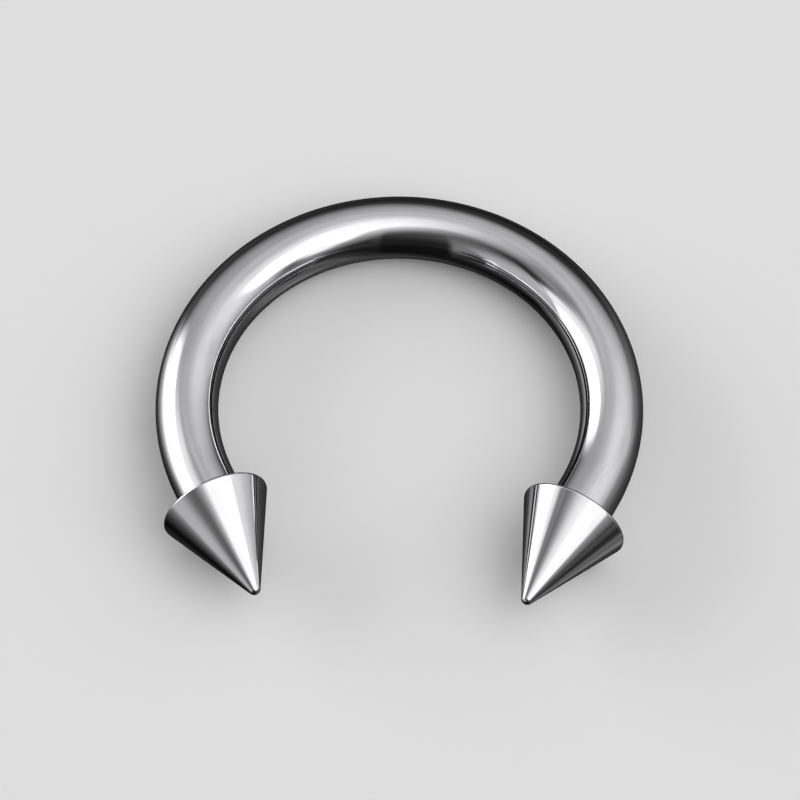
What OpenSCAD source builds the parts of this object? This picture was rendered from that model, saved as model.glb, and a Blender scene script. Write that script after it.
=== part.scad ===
// Horseshoe barbell: a round steel bar bent most of the way round a circle, with a
// pointed cone screwed on each end. It lies on a flat surface, on the back of its
// bar and on the rims of both cones, with its mouth towards -Y.

/* [Bar] */
// Diameter of the round bar
bar_d = 1.6; // [1.4:0.1:2.4]
// Clear width inside the curve of the bar
inner_d = 9.2; // [8:0.2:14]
// How far round each side the curve runs, from the middle of its back
arc_half = 115; // [100:5:115]
// Straight length between the end of the curve and the cone
straight_end = 0.8; // [0.4:0.1:1.6]
// Slope taken off the sharp edge of each end face of the bar
end_chamfer = 0.03; // [0.02:0.01:0.06]

/* [Cones] */
// Diameter of a cone at its base
cone_d = 2.8; // [2.6:0.1:4]
// Length of a cone from its base to its tip
cone_len = 2.8; // [2.6:0.1:5]
// Radius of the rounded tip of a cone
tip_r = 0.16; // [0.1:0.02:0.3]
// Radius that rounds the edge of the base of a cone
rim_r = 0.06; // [0.03:0.01:0.1]

/* [Screw] */
// Diameter over the thread on each end of the bar
thread_d = 1.2; // [1:0.1:1.2]
// Distance from one thread ridge to the next
thread_pitch = 0.25; // [0.2:0.05:0.3]
// Height of a thread ridge above its groove
thread_height = 0.13; // [0.08:0.01:0.14]
// Number of thread ridges on each end
thread_turns = 4; // [3:1:4]
// Space all round the thread inside the hole of a cone
bore_clearance = 0.02; // [0.01:0.01:0.05]
// Space between the end of the bar and the base of its cone
seat_gap = 0.02; // [0.01:0.01:0.05]

/* [Hidden] */
$fn = 96;

LEFT = -1;
RIGHT = 1;

bar_r = bar_d / 2;
ring_r = inner_d / 2 + bar_r;
cone_r = cone_d / 2;

// The thread: a short plain neck, the ridges, and a tapered end to start the cone on
thread_r = thread_d / 2;
groove_r = thread_r - thread_height;
neck_len = 0.1;
ridge_flat = thread_pitch / 8;
ridge_slope = (thread_pitch - ridge_flat) / 2;
lead_len = 0.08;
stud_len = neck_len + thread_turns * thread_pitch + lead_len;

// The blind hole in a cone, which ends in the hollow that a drill leaves
bore_r = thread_r + bore_clearance;
bore_end_room = 0.06;
bore_len = seat_gap + stud_len + bore_end_room;
drill_tip_half_angle = 59;
drill_tip_len = bore_r / tan(drill_tip_half_angle);

// Section of a cone: a small circle at the rim, a small circle at the tip, and the
// straight flank that touches both, whose outward normal lies at flank_angle
rim_centre = [cone_r - rim_r, rim_r];
tip_centre = [0, cone_len - tip_r];
rim_to_tip = tip_centre - rim_centre;
flank_angle = atan2(rim_to_tip.y, rim_to_tip.x) - acos((rim_r - tip_r) / norm(rim_to_tip));
flank_normal = [cos(flank_angle), sin(flank_angle)];

// Middle of the base of the right cone, and the way that its point faces, with the
// middle of the ring at [0, 0] and the ring still flat
cone_way = [cos(arc_half), -sin(arc_half)];
cone_base = ring_r * [sin(arc_half), cos(arc_half)] + (straight_end + seat_gap) * cone_way;

// The cones are wider than the bar, so the ring leans back until its back touches
// the surface: the sine of the lean is the drop from the rim to the bar's underside
// over the distance between them, worked out again as the lean settles
function rim_drop(lean) = cone_r * cos(asin(sin(lean) * cone_way.y));
function settle(lean, steps) = steps == 0 ? lean
    : settle(asin((rim_drop(lean) - bar_r) / (ring_r - cone_base.y)), steps - 1);
lean = settle(0, 6);

// Shift that brings the middle of the outline to the Z axis and the underside to Z = 0
cone_tip_y = cone_base.y + (cone_len - tip_r) * cone_way.y;
back_y = ring_r * cos(lean) + bar_r;
front_y = cone_tip_y * cos(lean) - tip_r;
rest_shift = [0, -(back_y + front_y) / 2, ring_r * sin(lean) + bar_r];

// Lays a piece of the flat ring down as it rests
module at_rest() {
    translate(rest_shift) rotate([-lean, 0, 0]) children();
}

// Puts a piece on one end of the curve, with its +Z out along the screw
module at_end(side) {
    rotate([0, 0, side * (90 - arc_half)])
        translate([side * ring_r, 0, 0])
            rotate([90, 0, 0])
                children();
}

// The curve of the bar, which starts at its right end
module curve() {
    rotate([0, 0, 90 - arc_half])
        rotate_extrude(angle = 2 * arc_half)
            translate([ring_r, 0]) circle(bar_r);
}

// Half section of the straight end and its thread, turned about Y
module end_profile() {
    first_ridge = straight_end + neck_len;
    ridges = [for (turn = [0 : thread_turns - 1], point = [
        [groove_r, 0],
        [thread_r, ridge_slope],
        [thread_r, ridge_slope + ridge_flat]
    ]) point + [0, first_ridge + turn * thread_pitch]];
    polygon(concat(
        [[0, 0], [bar_r, 0], [bar_r, straight_end - end_chamfer]],
        [[bar_r - end_chamfer, straight_end], [groove_r, straight_end]],
        ridges,
        [[groove_r, first_ridge + thread_turns * thread_pitch]],
        [[groove_r - lead_len / 2, straight_end + stud_len], [0, straight_end + stud_len]]
    ));
}

// Half section of a cone without its hole, base at Y = 0, turned about Y
module cone_profile() {
    polygon([
        [0, 0],
        [rim_centre.x, 0],
        rim_centre,
        rim_centre + rim_r * flank_normal,
        tip_centre + tip_r * flank_normal,
        tip_centre
    ]);
    translate(rim_centre) circle(rim_r);
    intersection() {
        translate(tip_centre) circle(tip_r);
        square([cone_r, cone_len]);
    }
}

module bored_cone() {
    difference() {
        rotate_extrude() cone_profile();
        translate([0, 0, -1]) cylinder(r = bore_r, h = 1 + bore_len);
        translate([0, 0, bore_len]) cylinder(r1 = bore_r, r2 = 0, h = drill_tip_len);
    }
}

module bar() {
    color("gainsboro") at_rest() {
        curve();
        for (side = [LEFT, RIGHT])
            at_end(side) rotate_extrude() end_profile();
    }
}

module screwed_cone(side) {
    color("silver") at_rest()
        at_end(side) translate([0, 0, straight_end + seat_gap]) bored_cone();
}

module cone_left() {
    screwed_cone(LEFT);
}

module cone_right() {
    screwed_cone(RIGHT);
}

bar();
cone_left();
cone_right();
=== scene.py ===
"""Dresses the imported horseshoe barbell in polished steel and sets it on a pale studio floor.

Lengths are in millimetres until a mesh is made. The flat ring lies in the plane Z = 0 round
the origin with its back at +Y, and RingLayout lays it down as it rests on the floor.
"""

import logging
from collections.abc import Sequence
from dataclasses import dataclass, field
from enum import Enum

import bpy
import numpy as np
from mathutils import Euler, Matrix, Vector
from numpy.typing import NDArray


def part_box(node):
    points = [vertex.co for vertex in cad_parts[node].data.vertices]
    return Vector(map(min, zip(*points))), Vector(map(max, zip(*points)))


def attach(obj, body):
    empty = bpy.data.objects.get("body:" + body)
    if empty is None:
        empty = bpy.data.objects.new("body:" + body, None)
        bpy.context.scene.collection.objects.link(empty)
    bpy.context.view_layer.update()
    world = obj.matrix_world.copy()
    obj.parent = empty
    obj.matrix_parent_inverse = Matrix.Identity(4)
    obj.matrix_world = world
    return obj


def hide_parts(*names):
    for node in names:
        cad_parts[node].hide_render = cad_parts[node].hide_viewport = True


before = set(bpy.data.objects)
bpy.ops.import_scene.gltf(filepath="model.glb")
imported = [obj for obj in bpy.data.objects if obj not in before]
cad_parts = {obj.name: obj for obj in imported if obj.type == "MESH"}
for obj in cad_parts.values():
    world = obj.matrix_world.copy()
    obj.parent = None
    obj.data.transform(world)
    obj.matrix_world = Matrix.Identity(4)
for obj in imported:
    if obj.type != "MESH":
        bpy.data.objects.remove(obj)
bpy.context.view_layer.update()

Array = NDArray[np.float64]
Indices = NDArray[np.int64]
Colour = tuple[float, float, float]
Sockets = bpy.types.NodeInputs | bpy.types.NodeOutputs
Filling = float | Sequence[float] | Array | Euler | bpy.types.NodeSocket

MM = 0.001
FULL_TURN = 2 * np.pi
log = logging.getLogger("horseshoe_barbell")


class Side(Enum):
    """One end of the bar; the value is the sign of its X."""

    LEFT = -1
    RIGHT = 1


class Wear(Enum):
    """How a stretch of surface was finished; the value is its material's place on the piece."""

    POLISHED = 0
    CUT = 1


# Section lines


SAME_PLACE = 1e-7  # points closer together than this are one
MOST_OF_STEP = 0.3  # the most of a step that a point close to an end stands from it


def arc(centre: tuple[float, float], radius: float, start: float, end: float, steps: int) -> Array:
    """Points of a section line on a circle: centre + radius (cos a, sin a).

    Args:
        centre: Centre of the circle, as (length along the axis, distance from it).
        radius: Radius of the circle.
        start: First angle a, in degrees.
        end: Last angle a, in degrees.
        steps: Number of equal steps between the two.

    Returns:
        Array of shape (steps + 1, 2).
    """
    a = np.radians(np.linspace(start, end, steps + 1))
    return np.array(centre) + radius * np.stack([np.cos(a), np.sin(a)], axis=1)


def run(
    start: tuple[float, float], end: tuple[float, float], steps: int, edge: float = 0.004
) -> Array:
    """Points of a straight stretch of section line, with one more point close to each end.

    The close points keep the soft shading of a rounded edge from spreading over the flat.

    Args:
        start: First point, as (length along the axis, distance from it).
        end: Last point.
        steps: Number of equal steps between the two.
        edge: Distance of the close points from the ends, where the steps leave room for it.

    Returns:
        Array of shape (steps + 3, 2).
    """
    a, b = np.array(start), np.array(end)
    near = min(edge / float(np.linalg.norm(b - a)), MOST_OF_STEP / steps)
    t = np.sort(np.concatenate([np.linspace(0, 1, steps + 1), [near, 1 - near]]))
    return a + t[:, None] * (b - a)


def join(*stretches: Array) -> Array:
    """Joins stretches of section line end to end and drops the points they share.

    Args:
        stretches: Points of each stretch, (points, 2), in order.

    Returns:
        The points of the whole line.
    """
    line = np.concatenate(stretches)
    keep = np.ones(len(line), bool)
    keep[1:] = np.linalg.norm(np.diff(line, axis=0), axis=1) > SAME_PLACE
    return line[keep]


def polished_then_cut(polished: Array, cut: Array) -> tuple[Array, Indices]:
    """Puts the cut stretch of a section line after the polished one.

    Args:
        polished: Points of the polished stretch.
        cut: Points of the cut stretch.

    Returns:
        The points of the whole line, and the place of each one's material.
    """
    polished_wear = np.full(len(polished), Wear.POLISHED.value)
    cut_wear = np.full(len(cut), Wear.CUT.value)
    return np.concatenate([polished, cut]), np.concatenate([polished_wear, cut_wear])


@dataclass(frozen=True)
class Thread:
    """A screw thread with flat crests and roots.

    Attributes:
        outer_d: Diameter over the crests.
        height: Height of a ridge above its groove.
        pitch: Distance from one ridge to the next.
        runout: Length over which the ridge fades in and out.
        crest: Part of the pitch that is flat crest.
        root: Part of the pitch that is flat root.
        ease: How far the flanks are eased, from 0 for straight ones to 1.
    """

    outer_d: float = 1.2
    height: float = 0.13
    pitch: float = 0.25
    runout: float = 0.1
    crest: float = 1 / 8
    root: float = 1 / 4
    ease: float = 0.6

    @property
    def root_r(self) -> float:
        """Radius at the bottom of the grooves."""
        return self.outer_d / 2 - self.height

    def steps(self, length: float, per_turn: int) -> int:
        """Steps along a length of the thread, with so many of them to each turn."""
        return int(round(length / self.pitch * per_turn))

    def ridge(self, along: Array, angles: Array) -> Array:
        """Height of the ridge, from 0 in the groove to 1 on the crest.

        The phase is length / pitch less angle / full turn, so that the ridge climbs one
        pitch in a full turn. It is right-handed where the angles turn by the right hand
        about the way in which the lengths grow, and otherwise left-handed. Its distance x
        from the middle of a crest runs from 0 to 1 half a pitch away. The ridge is 1 on the
        crest and 0 on the root. Between them it falls with f, the way from one to the
        other, partly in a straight line and partly by the smooth step f f (3 - 2 f).

        Args:
            along: Length along the axis of each row.
            angles: Angle round the axis of each column, in radians.

        Returns:
            Array of shape (rows, columns).
        """
        phase = along[:, None] / self.pitch - angles[None, :] / FULL_TURN
        x = 2 * np.abs(phase - np.round(phase))
        fall = np.clip((x - self.crest) / (1 - self.crest - self.root), 0, 1)
        return 1 - ((1 - self.ease) * fall + self.ease * fall * fall * (3 - 2 * fall))


# Where the pieces lie


@dataclass(frozen=True)
class RingLayout:
    """The driving sizes of the ring, and where its pieces lie at rest.

    Attributes:
        bar_d: Diameter of the round bar.
        inner_d: Clear width inside the curve.
        arc_half: How far round each side the curve runs from its back, in degrees.
        straight_end: Straight length between the end of the curve and a cone.
        seat_gap: Space between the end face of the bar and the base of its cone.
        cone_d: Diameter of a cone at its base.
        cone_len: Length of a cone from its base to its tip.
        tip_r: Radius of the rounded tip of a cone.
        rim_r: Radius that rounds the edge of the base of a cone.
        stud_len: Length of the stud on each end, from the end face of the bar.
        lean_rounds: How often the lean is worked out again until it settles.
    """

    bar_d: float = 1.6
    inner_d: float = 9.2
    arc_half: float = 115.0
    straight_end: float = 0.8
    seat_gap: float = 0.02
    cone_d: float = 2.8
    cone_len: float = 2.8
    tip_r: float = 0.16
    rim_r: float = 0.06
    stud_len: float = 1.18
    lean_rounds: int = 8

    @property
    def ring_r(self) -> float:
        """Radius of the middle line of the bar."""
        return (self.inner_d + self.bar_d) / 2

    @property
    def curve_len(self) -> float:
        """Length of the middle line from the back of the ring to the end of its curve."""
        return self.ring_r * float(np.radians(self.arc_half))

    @property
    def bar_end(self) -> float:
        """Length of the middle line from the back of the ring to an end face of the bar."""
        return self.curve_len + self.straight_end

    def middle_line(self, along: Array) -> tuple[Array, Array, Array]:
        """The middle line of the flat ring and the directions across it.

        With t the angle along / ring_r, held at the ends of the curve, the line is
        ring_r (sin t, cos t), and past the curve it goes on straight along (cos t, -sin t).

        Args:
            along: Lengths from the back of the ring, negative on the left.

        Returns:
            Points, tangents, and outward directions in the ring's plane, each (rows, 3).
        """
        on_curve = np.clip(along, -self.curve_len, self.curve_len)
        t = on_curve / self.ring_r
        flat = np.zeros_like(t)
        outward = np.stack([np.sin(t), np.cos(t), flat], axis=1)
        tangent = np.stack([np.cos(t), -np.sin(t), flat], axis=1)
        return self.ring_r * outward + (along - on_curve)[:, None] * tangent, tangent, outward

    @property
    def lean(self) -> float:
        """Angle by which the ring leans back until its back touches the floor, in radians.

        Its sine is the drop from the rims of the cones to the underside of the bar over the
        distance between them, worked out again as the lean settles.

        Returns:
            The lean.
        """
        centres, tangents, _ = self.middle_line(np.array([self.bar_end + self.seat_gap]))
        reach = self.ring_r - centres[0, 1]
        lean = 0.0
        for _ in range(self.lean_rounds):
            rim_drop = self.cone_d / 2 * np.cos(np.arcsin(np.sin(lean) * tangents[0, 1]))
            lean = float(np.arcsin((rim_drop - self.bar_d / 2) / reach))
        return lean

    @property
    def shift(self) -> Array:
        """Shift that centres the leaning ring's outline in Y and brings its underside to Z = 0.

        Returns:
            The shift, (3,).
        """
        tip_at = self.bar_end + self.seat_gap + self.cone_len - self.tip_r
        tip = self.middle_line(np.array([tip_at]))[0][0]
        back_y = self.ring_r * np.cos(self.lean) + self.bar_d / 2
        front_y = tip[1] * np.cos(self.lean) - self.tip_r
        back_z = self.ring_r * np.sin(self.lean) + self.bar_d / 2
        return np.array([0.0, -(back_y + front_y) / 2, back_z])

    def laid_down(self, points: Array) -> Array:
        """Turns points of the flat ring back by the lean about X and shifts them to rest.

        Args:
            points: Points of the flat ring, (points, 3).

        Returns:
            The points at rest, (points, 3).
        """
        c, s = np.cos(self.lean), np.sin(self.lean)
        turn = np.array([[1, 0, 0], [0, c, s], [0, -s, c]])
        return points @ turn.T + self.shift


# Surfaces


@dataclass
class RoundSurface:
    """A closed surface of rings of points round a middle line, with a point at each end.

    The point of row i and column j is centre[i] + radius[i, j] (cos a out[i] + sin a rise[i]),
    where a is the angle of the column. The first and last rows have no radius: each is one
    point, joined to its neighbour row by a fan.

    Attributes:
        centres: Points of the middle line, (rows, 3).
        outs: Directions of angle 0, (rows, 3).
        rises: Directions of a right angle, (rows, 3).
        radii: Distance of each point from the middle line, (rows, columns).
        along: Length along the middle line of each row, which only the finish reads.
        wear: Place of each row's material, as the values of Wear give it.
        groove: How deep in a thread each point lies, from 0 to 1, (rows, columns), for painted shade.
    """

    centres: Array
    outs: Array
    rises: Array
    radii: Array
    along: Array
    wear: Indices
    groove: Array

    @staticmethod
    def angles(columns: int) -> Array:
        """The angles of the columns, in radians."""
        return np.arange(columns) * (FULL_TURN / columns)

    def points(self) -> Array:
        """Works out all points by the formula of the class.

        Returns:
            The points, (rows, columns, 3).
        """
        a = self.angles(self.radii.shape[1])[None, :, None]
        across = np.cos(a) * self.outs[:, None, :] + np.sin(a) * self.rises[:, None, :]
        return self.centres[:, None, :] + self.radii[:, :, None] * across

    def straightened(self) -> Array:
        """Works out the points as they would lie with the middle line straight along X.

        Returns:
            The points, (rows, columns, 3).
        """
        a = self.angles(self.radii.shape[1])[None, :]
        x = np.broadcast_to(self.along[:, None], self.radii.shape)
        return np.stack([x, self.radii * np.cos(a), self.radii * np.sin(a)], axis=2)

    @staticmethod
    def without_doubles(grid: Array) -> Array:
        """Flattens a (rows, columns, n) grid to vertices, with one vertex for each end row."""
        return np.concatenate([grid[0, :1], grid[1:-1].reshape(-1, grid.shape[2]), grid[-1, :1]])

    def faces(self) -> tuple[Indices, Indices, Indices]:
        """The faces as corner lists: a fan, the quads row by row, and a fan.

        Returns:
            Corners of all faces one after the other, where each face starts, and the row
            that each face belongs to.
        """
        rows, columns = self.radii.shape
        last = 1 + (rows - 2) * columns
        j = np.arange(columns)
        k = (j + 1) % columns
        first_fan = np.stack([np.zeros_like(j), 1 + j, 1 + k], axis=1)
        base = 1 + columns * np.arange(rows - 3)[:, None]
        quads = np.stack([base + j, base + columns + j, base + columns + k, base + k], axis=2)
        quads = quads.reshape(-1, 4)
        end = last - columns
        last_fan = np.stack([end + j, np.full_like(j, last), end + k], axis=1)
        corners = np.concatenate([first_fan.ravel(), quads.ravel(), last_fan.ravel()])
        sizes = np.concatenate([np.full(columns, 3), np.full(len(quads), 4), np.full(columns, 3)])
        starts = np.concatenate([[0], np.cumsum(sizes)[:-1]])
        row_of = np.repeat(np.arange(rows - 1), columns)
        return corners, starts, row_of

    def to_object(
        self, name: str, layout: RingLayout, materials: list[bpy.types.Material]
    ) -> bpy.types.Object:
        """Makes the Blender object, smooth shaded, with its place in its mesh.

        Args:
            name: Name of the object.
            layout: Lays the points down as they rest.
            materials: Materials in the order of Wear.

        Returns:
            The object, linked to the scene.
        """
        vertices = layout.laid_down(self.without_doubles(self.points())) * MM
        corners, starts, row_of = self.faces()
        mesh = bpy.data.meshes.new(name)
        mesh.vertices.add(len(vertices))
        mesh.loops.add(len(corners))
        mesh.polygons.add(len(starts))
        mesh.vertices.foreach_set("co", vertices.ravel())
        mesh.loops.foreach_set("vertex_index", corners)
        mesh.polygons.foreach_set("loop_start", starts)
        for material in materials:
            mesh.materials.append(material)
        mesh.polygons.foreach_set("material_index", self.wear[row_of].astype(np.int32))
        grain = mesh.attributes.new("grain", "FLOAT_VECTOR", "POINT")
        grain.data.foreach_set("vector", self.without_doubles(self.straightened()).ravel())
        groove = mesh.attributes.new("groove", "FLOAT", "POINT")
        groove.data.foreach_set("value", self.without_doubles(self.groove[:, :, None]).ravel())
        mesh.update(calc_edges=True)
        mesh.validate()
        mesh.shade_smooth()
        piece = bpy.data.objects.new(name, mesh)
        bpy.context.scene.collection.objects.link(piece)
        return piece


# Finishes


def opaque(colour: Colour) -> tuple[float, float, float, float]:
    """The colour with full alpha, as a socket takes it."""
    return (*colour, 1.0)


def socket(sockets: Sockets, name: str) -> bpy.types.NodeSocket:
    """Picks the socket of a name that is in use, as some nodes have one of that name for each kind."""
    return next(s for s in sockets if s.name == name and s.enabled)


def fill_inputs(tree: bpy.types.NodeTree, node: bpy.types.Node, fillings: dict[str | int, Filling]) -> None:
    """Gives a node's inputs their constants and links.

    Args:
        tree: Node tree that the node is in.
        node: The node.
        fillings: For the name or number of an input, a constant or the socket it is linked from.
    """
    for key, filling in fillings.items():
        taker = node.inputs[key] if isinstance(key, int) else socket(node.inputs, key)
        if isinstance(filling, bpy.types.NodeSocket):
            tree.links.new(filling, taker)
        else:
            taker.default_value = filling


def add_node(
    tree: bpy.types.NodeTree,
    kind: str,
    output: str,
    fillings: dict[str | int, Filling] | None = None,
    **settings: str,
) -> bpy.types.NodeSocket:
    """Adds a node.

    Args:
        tree: Node tree that it is added to.
        kind: Its kind, as Blender names it.
        output: Name of the output that is wanted.
        fillings: Constants and links of its inputs, as fill_inputs takes them.
        settings: The node's own settings by name.

    Returns:
        The output that is wanted.
    """
    node = tree.nodes.new(kind)
    for name, value in settings.items():
        setattr(node, name, value)
    fill_inputs(tree, node, fillings or {})
    return socket(node.outputs, output)


def new_material(name: str) -> tuple[bpy.types.Material, bpy.types.NodeTree]:
    """Starts a node material with its shader in place.

    Args:
        name: Name of the material.

    Returns:
        The material and its node tree.
    """
    material = bpy.data.materials.new(name)
    material.use_nodes = True
    return material, material.node_tree


@dataclass(frozen=True)
class SteelFinish:
    """Steel with the fine marks that its last working left.

    Attributes:
        name: Name of the material.
        dark: Colour of the steel where the marks are densest.
        light: Colour of the steel where they are sparsest.
        groove_shade: Painted shade, a darker colour at the bottom of a thread groove.
        smooth: Least roughness.
        rough: Most roughness.
        stretch: Marks per millimetre along the piece, and across it in the two other ways.
        mark_depth: Depth of the marks, in millimetres.
        mark_detail: How many finer layers the marks have.
        mark_rough: How strong each finer layer of the marks is, as a part of the one before.
        cloud: Clouds of finer and coarser polish per millimetre.
        cloud_detail: How many finer layers the clouds have.
        sparse: Marks times clouds where the steel is lightest and smoothest.
        dense: Marks times clouds where the steel is darkest and roughest.
        groove_rough: Roughness at the bottom of a thread groove.
    """

    name: str
    dark: Colour = (0.742, 0.738, 0.76)
    light: Colour = (0.832, 0.828, 0.847)
    groove_shade: Colour = (0.32, 0.31, 0.3)
    smooth: float = 0.035
    rough: float = 0.1
    stretch: tuple[float, float, float] = (3.0, 40.0, 40.0)
    mark_depth: float = 0.00004
    mark_detail: float = 5.0
    mark_rough: float = 0.6
    cloud: float = 0.8
    cloud_detail: float = 2.0
    sparse: float = 0.12
    dense: float = 0.42
    groove_rough: float = 0.32

    def material(self) -> bpy.types.Material:
        """Builds the material from the straightened coordinates that the pieces carry.

        Fine marks are noise stretched along the way of the last working, and clouds are
        unstretched noise on a broader scale. Their product sets the roughness and the colour,
        the marks alone set the bump, and the thread grooves are duller, with painted shade
        that darkens them.

        Returns:
            The material.
        """
        material, tree = new_material(self.name)
        grain = add_node(tree, "ShaderNodeAttribute", "Vector", attribute_name="grain")
        groove = add_node(tree, "ShaderNodeAttribute", "Fac", attribute_name="groove")

        stretched = add_node(tree, "ShaderNodeMapping", "Vector", {"Vector": grain, "Scale": self.stretch})
        mark_noise = {
            "Vector": stretched,
            "Scale": 1.0,
            "Detail": self.mark_detail,
            "Roughness": self.mark_rough,
        }
        marks = add_node(tree, "ShaderNodeTexNoise", "Fac", mark_noise)
        cloud_noise = {"Vector": grain, "Scale": self.cloud, "Detail": self.cloud_detail}
        clouds = add_node(tree, "ShaderNodeTexNoise", "Fac", cloud_noise)
        both = add_node(tree, "ShaderNodeMath", "Value", {0: marks, 1: clouds}, operation="MULTIPLY")
        wear_range = {"Value": both, "From Min": self.sparse, "From Max": self.dense}
        wear = add_node(tree, "ShaderNodeMapRange", "Result", wear_range)

        clean_mix = {"Factor": wear, "A": opaque(self.light), "B": opaque(self.dark)}
        clean = add_node(tree, "ShaderNodeMix", "Result", clean_mix, data_type="RGBA")
        # Painted shade: the thread grooves are painted darker towards their bottom.
        groove_shade_mix = {"Factor": groove, "A": clean, "B": opaque(self.groove_shade)}
        groove_shaded = add_node(tree, "ShaderNodeMix", "Result", groove_shade_mix, data_type="RGBA")

        polish_range = {"Value": wear, "To Min": self.smooth, "To Max": self.rough}
        polish = add_node(tree, "ShaderNodeMapRange", "Result", polish_range)
        dulled_mix = {"Factor": groove, "A": polish, "B": self.groove_rough}
        dulled = add_node(tree, "ShaderNodeMix", "Result", dulled_mix)

        relief = {"Strength": 1.0, "Distance": self.mark_depth * MM, "Height": marks}
        bump = add_node(tree, "ShaderNodeBump", "Normal", relief)
        steel = {"Metallic": 1.0, "Base Color": groove_shaded, "Roughness": dulled, "Normal": bump}
        fill_inputs(tree, tree.nodes["Principled BSDF"], steel)
        return material


@dataclass(frozen=True)
class FloorFinish:
    """The plain pale card that the object lies on, matte to the eye and dark glass to the steel.

    Attributes:
        colour: Colour of the card.
        mirrored: Colour of the card as the steel mirrors it.
        roughness: Roughness of the card as the steel mirrors it.
        gloss: Gloss of the card as the steel mirrors it.
    """

    colour: Colour = (0.9, 0.9, 0.905)
    mirrored: Colour = (0.002, 0.002, 0.002)
    roughness: float = 0.05
    gloss: float = 0.5

    def material(self) -> bpy.types.Material:
        """Builds the card from a matte shader and one of dark glass.

        Rays that the steel mirrors meet the dark glass, and all others meet the matte card.

        Returns:
            The material.
        """
        material, tree = new_material("pale_card")
        matte = tree.nodes["Principled BSDF"]
        fill_inputs(tree, matte, {"Base Color": opaque(self.colour), "Specular IOR Level": 0.0})
        dark_glass = {
            "Base Color": opaque(self.mirrored),
            "Roughness": self.roughness,
            "Specular IOR Level": self.gloss,
        }
        glass = add_node(tree, "ShaderNodeBsdfPrincipled", "BSDF", dark_glass)
        ray = add_node(tree, "ShaderNodeLightPath", "Is Glossy Ray")
        met = {"Fac": ray, 1: matte.outputs["BSDF"], 2: glass}
        card = add_node(tree, "ShaderNodeMixShader", "Shader", met)
        fill_inputs(tree, tree.nodes["Material Output"], {"Surface": card})
        return material


# The pieces


@dataclass
class Bar:
    """The bent bar with a thread on each end.

    Attributes:
        layout: Sizes and places shared by all pieces.
        thread: Thread on each end.
        edge_r: Radius of the polished edge of each end face.
        fillet_r: Radius of the hollow between an end face and its stud.
        neck_len: Plain length between an end face and the start of the first ridge.
        tip_inset: How far inside the bottom of the grooves the slope at the tip of a stud ends.
        tip_step: Size of the small step that breaks the edge of the tip.
        unshaded_tip: Length at the tip whose grooves get no painted shade and are as smooth as the ridges.
        columns: Points round the bar.
        curve_steps: Steps along half of the curve.
        straight_steps: Steps along a straight end.
        edge_steps: Steps round the edge of an end face.
        face_steps: Steps down an end face, and down the face of a stud's tip.
        fillet_steps: Steps round the hollow.
        pitch_steps: Steps along one turn of the thread.
    """

    layout: RingLayout
    thread: Thread = field(default_factory=Thread)
    edge_r: float = 0.03
    fillet_r: float = 0.02
    neck_len: float = 0.05
    tip_inset: float = 0.04
    tip_step: float = 0.01
    unshaded_tip: float = 0.02
    columns: int = 96
    curve_steps: int = 170
    straight_steps: int = 8
    edge_steps: int = 6
    face_steps: int = 3
    fillet_steps: int = 4
    pitch_steps: int = 20

    @property
    def tip_r(self) -> float:
        """Radius at which the slope at the tip of a stud ends."""
        return self.thread.root_r - self.tip_inset

    def half_section(self) -> tuple[Array, Indices]:
        """Section line of the right half, from the back of the ring to the tip of its stud.

        Returns:
            Points (length, radius), and the place of each one's material.
        """
        size, fillet = self.layout, self.fillet_r
        r, end, root = size.bar_d / 2, size.bar_end, self.thread.root_r
        stud_end = end + size.stud_len
        stud_steps = self.thread.steps(size.stud_len, self.pitch_steps)
        polished = join(
            run((0, r), (size.curve_len, r), self.curve_steps),
            run((size.curve_len, r), (end - self.edge_r, r), self.straight_steps),
            arc((end - self.edge_r, r - self.edge_r), self.edge_r, 90, 0, self.edge_steps),
            run((end, r - self.edge_r), (end, root + fillet), self.face_steps),
        )
        cut = join(
            arc((end + fillet, root + fillet), fillet, 180, 270, self.fillet_steps),
            run((end + fillet, root), (stud_end - self.tip_step, root), stud_steps),
            run((stud_end, self.tip_r - self.tip_step), (stud_end, 0), self.face_steps),
        )
        return polished_then_cut(polished, cut)

    def surface(self) -> RoundSurface:
        """The whole bar as one surface.

        The section line of the right half and its mirror image give the radius. On the
        studs the ridge of the thread stands on it, fades into the neck, and is cut by the
        slope at the end, whose radius falls as fast as the length runs out.

        Returns:
            The surface.
        """
        half, half_wear = self.half_section()
        along = np.concatenate([-half[:0:-1, 0], half[:, 0]])
        base = np.concatenate([half[:0:-1, 1], half[:, 1]])
        wear = np.concatenate([half_wear[:0:-1], half_wear])
        angles = RoundSurface.angles(self.columns)
        past_end = np.abs(along) - self.layout.bar_end
        rise = np.clip((past_end - self.neck_len) / self.thread.runout, 0, 1)
        on_stud = (past_end > self.fillet_r / 2)[:, None]
        ridge = self.thread.ridge(along, angles) * rise[:, None] * on_stud
        slope = self.tip_r + (self.layout.stud_len - past_end)
        radii = base[:, None] + self.thread.height * ridge
        radii = np.where(on_stud, np.minimum(radii, np.maximum(slope, 0)[:, None]), radii)
        radii[[0, -1]] = 0
        centres, _, outs = self.layout.middle_line(along)
        rises = np.broadcast_to(np.array([0.0, 0.0, 1.0]), outs.shape)
        # Grooves short of the tip carry the painted shade, darker with depth, and their extra roughness.
        groove_shaded = (past_end < self.layout.stud_len - self.unshaded_tip)[:, None]
        groove = (1 - ridge) * on_stud * groove_shaded
        return RoundSurface(centres, outs, rises, radii, along, wear, groove)

    def build(self, materials: list[bpy.types.Material]) -> bpy.types.Object:
        """Builds, dresses and fastens the bar.

        Args:
            materials: Materials in the order of Wear.

        Returns:
            The finished piece.
        """
        piece = self.surface().to_object("bent_bar", self.layout, materials)
        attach(piece, "bar")
        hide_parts("bar")
        return piece


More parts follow.
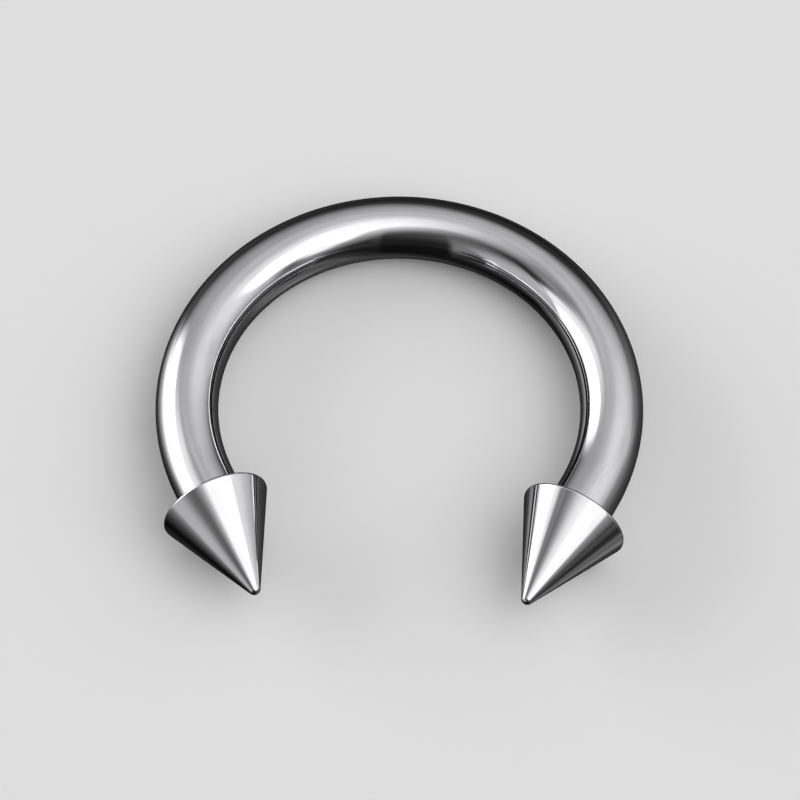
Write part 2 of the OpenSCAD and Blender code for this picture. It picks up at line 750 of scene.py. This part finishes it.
@dataclass
class Cone:
    """A cone with a blind threaded hole, screwed on one end of the bar.

    Attributes:
        layout: Sizes and places shared by all pieces.
        side: End of the bar that it is on.
        thread: Thread in its hole, which is cut outwards into the wall.
        bore_r: Radius of the hole inside its thread.
        bore_room: Length of the hole past the end of the stud.
        mouth_r: Radius of the rounded mouth of the hole.
        drill_half_angle: Half angle of the hollow that the drill leaves, in degrees.
        columns: Points round the cone.
        tip_steps: Steps round the tip.
        flank_steps: Steps along the flank.
        rim_steps: Steps round the edge of the base.
        base_steps: Steps across the base.
        mouth_steps: Steps round the mouth of the hole.
        pitch_steps: Steps along one turn of the thread.
        drill_steps: Steps down the hollow that the drill leaves.
    """

    layout: RingLayout
    side: Side
    thread: Thread = field(default_factory=lambda: Thread(height=0.05))
    bore_r: float = 0.62
    bore_room: float = 0.06
    mouth_r: float = 0.02
    drill_half_angle: float = 59.0
    columns: int = 128
    tip_steps: int = 14
    flank_steps: int = 24
    rim_steps: int = 12
    base_steps: int = 6
    mouth_steps: int = 4
    pitch_steps: int = 16
    drill_steps: int = 4

    @property
    def bore_end(self) -> float:
        """Height above the base at which the wall of the hole ends."""
        return self.layout.seat_gap + self.layout.stud_len + self.bore_room

    def section(self) -> tuple[Array, Indices]:
        """Section line from the tip over the flank and the base into the hole.

        The flank touches the circle of the tip and the circle of the rim. With d the way
        from the rim's centre to the tip's, its outward normal lies at the angle of d less
        the angle whose cosine is (rim_r - tip_r) / |d|.

        Returns:
            Points (height above the base, radius), and the place of each one's material.
        """
        size, mouth, bore = self.layout, self.mouth_r, self.bore_r
        rim = np.array([size.rim_r, size.cone_d / 2 - size.rim_r])
        tip = np.array([size.cone_len - size.tip_r, 0.0])
        d = tip - rim
        between = np.arccos((size.rim_r - size.tip_r) / np.linalg.norm(d))
        normal = np.degrees(np.arctan2(d[0], d[1]) - between)
        turned = 90 - float(normal)
        tip_arc = arc(tuple(tip), size.tip_r, 0, turned, self.tip_steps)
        rim_arc = arc(tuple(rim), size.rim_r, turned, 180, self.rim_steps)
        drill_end = self.bore_end + bore / float(np.tan(np.radians(self.drill_half_angle)))
        wall_steps = self.thread.steps(self.bore_end, self.pitch_steps)
        polished = join(
            tip_arc,
            run(tuple(tip_arc[-1]), tuple(rim_arc[0]), self.flank_steps),
            rim_arc,
            run((0, rim[1]), (0, bore + mouth), self.base_steps),
        )
        cut = join(
            arc((mouth, bore + mouth), mouth, 180, 270, self.mouth_steps),
            run((mouth, bore), (self.bore_end, bore), wall_steps),
            run((self.bore_end, bore), (drill_end, 0), self.drill_steps),
        )
        return polished_then_cut(polished, cut)

    def surface(self) -> RoundSurface:
        """The cone as one surface of revolution, with the thread cut into the wall of its hole.

        The angles of a cone turn by the left hand about the way in which its heights grow,
        so that the surface faces outwards. That makes this thread left-handed, while the
        threads on the bar are right-handed.

        Returns:
            The surface.
        """
        line, wear = self.section()
        height, radius = line[:, 0], line[:, 1]
        angles = RoundSurface.angles(self.columns)
        in_hole = (wear == Wear.CUT.value) & (height > self.mouth_r) & (height < self.bore_end)
        from_end = np.minimum(height - self.mouth_r, self.bore_end - height)
        fade = np.clip(from_end / self.thread.runout, 0, 1) * in_hole
        cut = self.thread.ridge(height, angles) * fade[:, None]
        sign = self.side.value
        along = sign * (self.layout.bar_end + self.layout.seat_gap + height)
        centres, _, outs = self.layout.middle_line(along)
        rises = np.broadcast_to(np.array([0.0, 0.0, -float(sign)]), outs.shape)
        radii = radius[:, None] + self.thread.height * cut
        radii[[0, -1]] = 0
        return RoundSurface(centres, outs, rises, radii, height, wear, cut)

    def build(self, materials: list[bpy.types.Material]) -> bpy.types.Object:
        """Builds, dresses and fastens the cone.

        Args:
            materials: Materials in the order of Wear.

        Returns:
            The finished piece.
        """
        node = f"cone_{self.side.name.lower()}"
        piece = self.surface().to_object(f"pointed_{node}", self.layout, materials)
        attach(piece, node)
        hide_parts(node)
        return piece


# The studio


WHITE = (1.0, 1.0, 1.0)
LEAST_AHEAD = 1e-4  # stands for z where a way leads off behind a panel
UNREAD_SIZE = 120.0  # fills the third part of a panel's size, which nothing reads
UNREAD_FADE = 0.5  # fills the third part of its fade


def direction(azimuth: float, elevation: float) -> Vector:
    """Unit vector at an azimuth from +Y towards +X and an elevation above the floor, in degrees."""
    a, e = np.radians(azimuth), np.radians(elevation)
    return Vector((np.sin(a) * np.cos(e), np.cos(a) * np.cos(e), np.sin(e)))


@dataclass(frozen=True)
class Panel:
    """A soft-edged panel of the light tent, painted over the ones before it.

    Attributes:
        azimuth: Azimuth of its middle from +Y towards +X, in degrees.
        elevation: Elevation of its middle above the floor, in degrees.
        width: Width as seen from the object, in degrees.
        height: Height as seen from the object, in degrees.
        glow: Light of its middle.
        fade_x: Part of its half width over which it fades out.
        fade_y: Part of its half height over which it fades out.
        turn: How far it is turned in its own plane, in degrees.
    """

    azimuth: float
    elevation: float
    width: float
    height: float
    glow: float
    fade_x: float = 1.0
    fade_y: float = 1.0
    turn: float = 0.0

    @property
    def axes(self) -> Matrix:
        """The panel's own axes as rows: x across it, y up it and z towards it.

        Returns:
            The turn from the world's axes to the panel's.
        """
        away = direction(self.azimuth, self.elevation)
        level = Vector((0, 0, 1)).cross(away).normalized()
        upright = away.cross(level)
        c, s = float(np.cos(np.radians(self.turn))), float(np.sin(np.radians(self.turn)))
        return Matrix((c * level + s * upright, c * upright - s * level, away))

    def paint(
        self, tree: bpy.types.NodeTree, way: bpy.types.NodeSocket, under: Filling
    ) -> bpy.types.NodeSocket:
        """Paints the panel over the light under it.

        The way that is looked at is turned into the panel's own axes, and the place on the
        panel is then |x / z| and |y / z|. Each fades by a smooth step from the panel's edge
        inwards, and their product mixes its glow over the light under it. Ways that lead off
        behind are given the least z, which puts them far outside the panel. The node that
        fades works on vectors of three parts, of which the third is not read.

        Args:
            tree: Node tree of the world.
            way: The way that is looked at.
            under: The light under the panel.

        Returns:
            The light with the panel over it.
        """
        turn = {"Vector": way, "Rotation": self.axes.to_euler("XYZ")}
        turned = add_node(tree, "ShaderNodeMapping", "Vector", turn, vector_type="VECTOR")
        z = add_node(tree, "ShaderNodeSeparateXYZ", "Z", {"Vector": turned})
        ahead = add_node(tree, "ShaderNodeMath", "Value", {0: z, 1: LEAST_AHEAD}, operation="MAXIMUM")
        place = add_node(tree, "ShaderNodeVectorMath", "Vector", {0: turned, 1: ahead}, operation="DIVIDE")
        distance = add_node(tree, "ShaderNodeVectorMath", "Vector", {0: place}, operation="ABSOLUTE")

        half = np.tan(np.radians(np.array([self.width, self.height, UNREAD_SIZE]) / 2))
        inner = half * (1 - np.array([self.fade_x, self.fade_y, UNREAD_FADE]))
        smooth_step = {"data_type": "FLOAT_VECTOR", "interpolation_type": "SMOOTHSTEP"}
        fade_range = {"Vector": distance, "From Min": half, "From Max": inner}
        fade = add_node(tree, "ShaderNodeMapRange", "Vector", fade_range, **smooth_step)
        mask_x = add_node(tree, "ShaderNodeSeparateXYZ", "X", {"Vector": fade})
        mask_y = socket(mask_x.node.outputs, "Y")
        mask = add_node(tree, "ShaderNodeMath", "Value", {0: mask_x, 1: mask_y}, operation="MULTIPLY")
        return add_node(tree, "ShaderNodeMix", "Result", {"Factor": mask, "A": under, "B": self.glow})


@dataclass
class Studio:
    """Pale floor and a light tent of soft panels round the object.

    Attributes:
        floor_size: Width of the floor, in metres.
        floor: Finish of the floor.
        dim: Light of the tent where it has no panel, as steel mirrors it.
        fill: Light of the tent where it has no panel, as it falls on the floor.
        backdrop: Light of the far pale wall that the camera sees past the floor.
        main_panels: Names of the panels that light the floor.
        panels: Panels of the tent by name, painted in order.
    """

    floor_size: float = 4.0
    floor: FloorFinish = field(default_factory=FloorFinish)
    dim: float = 0.03
    fill: float = 0.3
    backdrop: float = 0.75
    main_panels: tuple[str, ...] = ("right_fill", "right_softbox", "left_softbox")
    panels: dict[str, Panel] = field(
        default_factory=lambda: {
            "top": Panel(87, 75, 97, 108, glow=0.81, fade_x=0.8, turn=30),
            "far": Panel(-32, 40, 91, 78, glow=0.41, fade_x=0.45, turn=-29),
            "right_fill": Panel(88, 48, 131, 116, glow=0.89, turn=-16),
            "right_softbox": Panel(119, 54, 54, 57, glow=2.3, fade_x=0.5, fade_y=0.5, turn=-15),
            "dark_screen": Panel(-153, 11, 84, 110, glow=0.22, fade_x=0.65, turn=-12),
            "left_softbox": Panel(-72, 19.5, 64, 47, glow=2.6, fade_x=0.5, fade_y=0.5),
            "front_left": Panel(-120, 9, 41, 72, glow=0.52, fade_x=0.25, fade_y=0.8, turn=-25),
            "front_screen": Panel(-175, -2, 40, 120, glow=0.015, fade_x=0.25, fade_y=0.9, turn=1),
            "left_glow": Panel(-78, 38, 73, 31, glow=0.99, fade_x=0.6, turn=-27),
            "right_glow": Panel(68, 19, 20, 59, glow=0.63, fade_x=0.95, turn=-13),
            "top_far": Panel(2, 65, 64, 30, glow=0.58, fade_x=0.65, turn=-16),
            "top_right": Panel(84, 62, 53, 41, glow=0.83, fade_x=0.95, turn=-22),
            "top_front": Panel(143, 73, 39, 66, glow=1.23, fade_x=0.6, turn=28),
            "left_shade": Panel(-87, 53, 32, 23, glow=0.3, turn=-29),
            "right_shade": Panel(123.5, 17, 26, 40, glow=0.11),
            "right_low_glow": Panel(137, 33, 24, 26, glow=1.2, fade_y=0.5),
            "right_softbox_core": Panel(113, 56, 34, 26, glow=5),
        }
    )

    def build(self) -> bpy.types.Object:
        """Builds the floor and the tent.

        Returns:
            The floor.
        """
        s = self.floor_size / 2
        mesh = bpy.data.meshes.new("floor")
        mesh.from_pydata([(-s, -s, 0), (s, -s, 0), (s, s, 0), (-s, s, 0)], [], [(0, 1, 2, 3)])
        mesh.materials.append(self.floor.material())
        floor = bpy.data.objects.new("floor", mesh)
        bpy.context.scene.collection.objects.link(floor)
        self.build_tent()
        return floor

    def layer(
        self, tree: bpy.types.NodeTree, level: float, names: tuple[str, ...] = ()
    ) -> bpy.types.NodeSocket:
        """Makes a background of one level of light with the named panels painted over it.

        Args:
            tree: Node tree of the world.
            level: Light where no panel is.
            names: Names of the panels, painted in order.

        Returns:
            The background.
        """
        way = add_node(tree, "ShaderNodeTexCoord", "Generated")
        light: Filling = level
        for name in names:
            light = self.panels[name].paint(tree, way, light)
        whole = {"Color": opaque(WHITE), "Strength": light}
        return add_node(tree, "ShaderNodeBackground", "Background", whole)

    def build_tent(self) -> None:
        """Builds the world in three layers, of which each kind of ray meets one.

        Rays that steel mirrors meet all the panels, rays that light the floor meet the main
        panels alone, and the camera sees a plain pale wall past the floor.
        """
        world = bpy.data.worlds.new("light_tent")
        bpy.context.scene.world = world
        world.use_nodes = True
        tree = world.node_tree
        tree.nodes.remove(tree.nodes["Background"])
        seen = self.layer(tree, self.fill, self.main_panels)
        for kind, chosen in (
            ("Is Glossy Ray", self.layer(tree, self.dim, tuple(self.panels))),
            ("Is Camera Ray", self.layer(tree, self.backdrop)),
        ):
            ray = add_node(tree, "ShaderNodeLightPath", kind)
            seen = add_node(tree, "ShaderNodeMixShader", "Shader", {"Fac": ray, 1: seen, 2: chosen})
        fill_inputs(tree, tree.nodes["World Output"], {"Surface": seen})


@dataclass(frozen=True)
class PhotoCamera:
    """The camera at the photograph's viewing angle, level and with no shift.

    Attributes:
        turn: How far the camera stands to the right of straight in front, in degrees.
        elevation: Elevation above the floor, in degrees.
        distance: Distance from the aim, in metres.
        lens: Focal length on the sensor, in millimetres.
        sensor: Width of the sensor, in millimetres.
        aim: Point in the middle of the picture, in metres.
        nearest: Nearest that the camera sees, as a part of its distance from the aim.
        farthest: Farthest that the camera sees, as a multiple of that distance.
    """

    turn: float = 2.265
    elevation: float = 63.43
    distance: float = 0.216
    lens: float = 379.8
    sensor: float = 36.0
    aim: tuple[float, float, float] = (-0.000016, 0.00051, 0.0)
    nearest: float = 0.01
    farthest: float = 100.0

    def build(self) -> bpy.types.Object:
        """Builds the camera and makes it the scene's.

        Returns:
            The camera.
        """
        data = bpy.data.cameras.new("photo_camera")
        data.lens = self.lens
        data.sensor_width = self.sensor
        data.clip_start = self.distance * self.nearest
        data.clip_end = self.distance * self.farthest
        camera = bpy.data.objects.new("photo_camera", data)
        back = direction(180 - self.turn, self.elevation)
        camera.location = Vector(self.aim) + back * self.distance
        camera.rotation_mode = "QUATERNION"
        camera.rotation_quaternion = (-back).to_track_quat("-Z", "Y")
        bpy.context.scene.collection.objects.link(camera)
        bpy.context.scene.camera = camera
        return camera


# The whole


def report(piece: bpy.types.Object, node: str) -> None:
    """Logs a piece's triangles and how far its box departs from that of its CAD node.

    Args:
        piece: The piece.
        node: Name of the node.
    """
    count, ends = len(piece.data.vertices), np.array(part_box(node))
    places = np.empty(count * 3)
    piece.data.vertices.foreach_get("co", places)
    places = places.reshape(-1, 3)
    apart = np.abs(np.stack([places.min(axis=0), places.max(axis=0)]) - ends).max() / MM
    triangles = len(piece.data.loops) - 2 * len(piece.data.polygons)
    log.info("%s: %d triangles, box within %.4f mm of node %s", piece.name, triangles, apart, node)


def main() -> None:
    """Builds the pieces, the studio and the camera."""
    logging.basicConfig(level=logging.INFO, format="%(name)s: %(message)s")
    scene = bpy.context.scene
    scene.view_settings.view_transform = "Standard"
    layout = RingLayout()
    drawn = SteelFinish("polished_bar_steel")
    turned = SteelFinish("polished_cone_steel", stretch=(90.0, 2.0, 2.0))
    cut = SteelFinish(
        "cut_thread_steel", smooth=0.16, rough=0.3, stretch=(60.0, 6.0, 6.0), mark_depth=0.0002
    )
    cut_steel = cut.material()
    report(Bar(layout).build([drawn.material(), cut_steel]), "bar")
    turned_steel = turned.material()
    for side in Side:
        report(Cone(layout, side).build([turned_steel, cut_steel]), f"cone_{side.name.lower()}")
    log.info("stage: %s", Studio().build().name)
    PhotoCamera().build()


if __name__ == "__main__":
    main()
